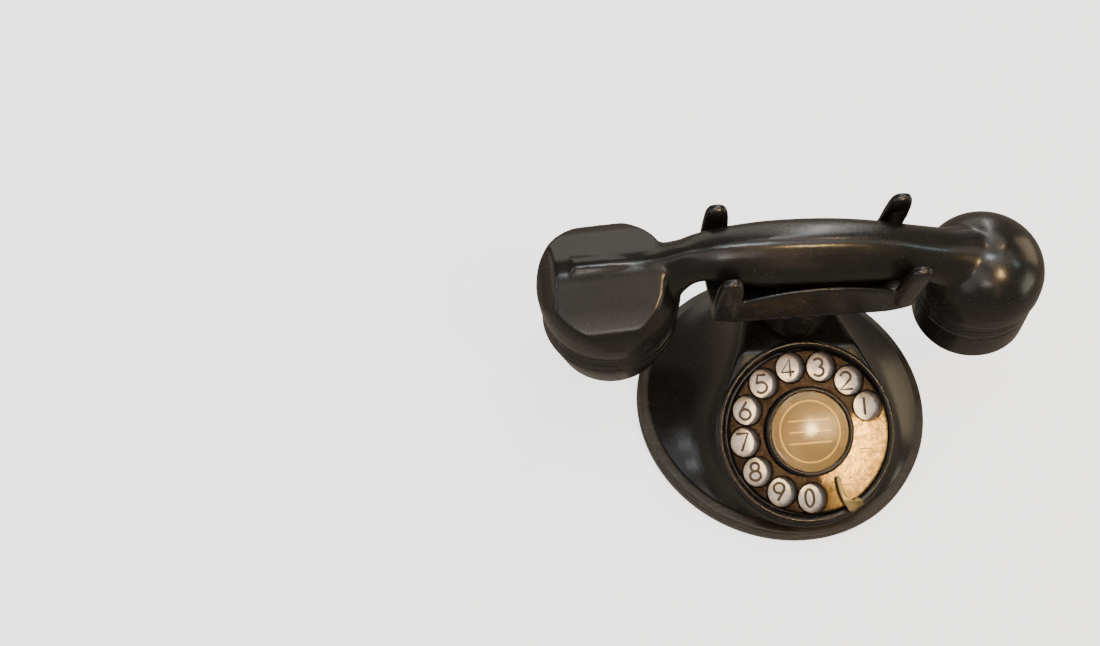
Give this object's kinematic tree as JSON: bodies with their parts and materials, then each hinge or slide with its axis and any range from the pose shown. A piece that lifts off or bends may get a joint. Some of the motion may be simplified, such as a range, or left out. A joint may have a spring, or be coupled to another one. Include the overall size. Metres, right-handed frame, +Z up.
{
  "type": "rotary telephone",
  "caption": "Black desk telephone with a round bell base, a sloping rotary dial and a horned cradle holding its handset.",
  "frame": {"origin": "centre of the flat underside of the base, on the surface the telephone stands on", "axes": "+Z up; the dial faces -Y; the handset lies along X with its transmitter at -X"},
  "size_m": [0.2366, 0.1406, 0.1172],
  "materials": {
    "bakelite": "black moulded resin, polished with age",
    "foot_band": "brown-black moulded band, duller than the housing",
    "felt": "dark green felt",
    "steel": "plain steel",
    "zinc": "zinc-plated steel",
    "brass": "worn brass",
    "bronze": "oxidised bronze, worn to copper on the blank sector",
    "dial_black": "black enamelled metal",
    "enamel": "cream enamel",
    "card": "aged olive card",
    "window": "clear domed window, slightly yellowed",
    "fibre": "brown insulating board",
    "rubber": "black rubber",
    "magnet": "dark magnet steel",
    "coil_wire": "enamelled copper winding"
  },
  "bodies": {
    "base": {"base_housing": "bakelite", "foot_ring": "foot_band", "base_plate": "steel", "base_felt": "felt", "base_screw_1": "zinc", "base_screw_2": "zinc", "base_screw_3": "zinc", "base_screw_4": "zinc", "line_lead_grommet": "rubber", "handset_lead_grommet": "rubber", "terminal_block": "fibre", "terminal_screw_1": "brass", "terminal_screw_2": "brass", "terminal_screw_3": "brass", "plunger_guide": "brass", "plunger_spring": "steel", "switch_bracket": "zinc", "switch_pin": "steel", "contact_block": "fibre", "contact_leaf_1": "brass", "contact_leaf_2": "brass", "dial_rim": "dial_black", "number_plate": "enamel", "finger_stop": "brass", "dial_case": "zinc", "dial_screw_1": "steel", "dial_screw_2": "steel", "dial_screw_3": "steel", "mainspring": "steel", "dial_frame": "zinc", "governor_cup": "brass", "pulse_leaf_1": "brass", "pulse_leaf_2": "brass"},
    "cradle": {"cradle": "bakelite", "plunger_rod": "steel", "plunger_stop": "brass"},
    "switch_lever": {"switch_lever": "brass"},
    "dial_wheel": {"finger_wheel": "bronze", "card_retainer": "dial_black", "card_window": "window", "number_card": "card", "clamp_nut": "brass", "dial_shaft": "steel", "main_gear": "brass"},
    "pinion": {"pinion_shaft": "steel", "pulse_cam": "fibre"},
    "governor": {"governor_shaft": "steel", "governor_weights": "brass"},
    "handset": {"handset_body": "bakelite", "transmitter_cap": "bakelite", "receiver_cap": "bakelite", "transmitter_capsule": "zinc", "transmitter_contact": "brass", "transmitter_terminals": "fibre", "receiver_diaphragm": "dial_black", "receiver_case": "zinc", "receiver_magnet": "magnet", "receiver_coil_1": "coil_wire", "receiver_coil_2": "coil_wire", "handset_lead_bush": "rubber"}
  },
  "joints": [
    {"name": "dial_turn", "type": "hinge", "parent": "base", "child": "dial_wheel", "pos_m": [0, -0.0318, 0.0391], "axis": [0, 0.4321, -0.9018], "range_deg": [0, 322], "stiffness_Nm_per_rad": 0.008, "springref_deg": -114.59},
    {"name": "pinion_turn", "type": "hinge", "parent": "base", "child": "pinion", "pos_m": [-0.0204, -0.00999, 0.02737], "axis": [0, -0.4321, 0.9018], "range_deg": [0, 1300]},
    {"name": "governor_turn", "type": "hinge", "parent": "base", "child": "governor", "pos_m": [-0.0074, -0.00826, 0.02376], "axis": [0, 0.9018, 0.4321], "range_deg": [0, 7800]},
    {"name": "cradle_rise", "type": "slide", "parent": "base", "child": "cradle", "axis": [0, 0, 1], "range_m": [0, 0.004], "stiffness_N_per_m": 100, "springref_m": 0.016, "deforming": ["plunger_spring"]},
    {"name": "switch_lever_turn", "type": "hinge", "parent": "base", "child": "switch_lever", "pos_m": [0.016, 0.0224, 0.026], "axis": [0, 1, 0], "range_deg": [0, 13.5]},
    {"name": "handset_lift", "type": "slide", "parent": "cradle", "child": "handset", "axis": [0, 0, 1], "range_m": [0, 0.12]}
  ],
  "couplings": [
    {"joint": "pinion_turn", "follows": "dial_turn", "ratio": 4},
    {"joint": "governor_turn", "follows": "dial_turn", "ratio": 24},
    {"joint": "switch_lever_turn", "follows": "cradle_rise", "rad_per_m": 58}
  ]
}
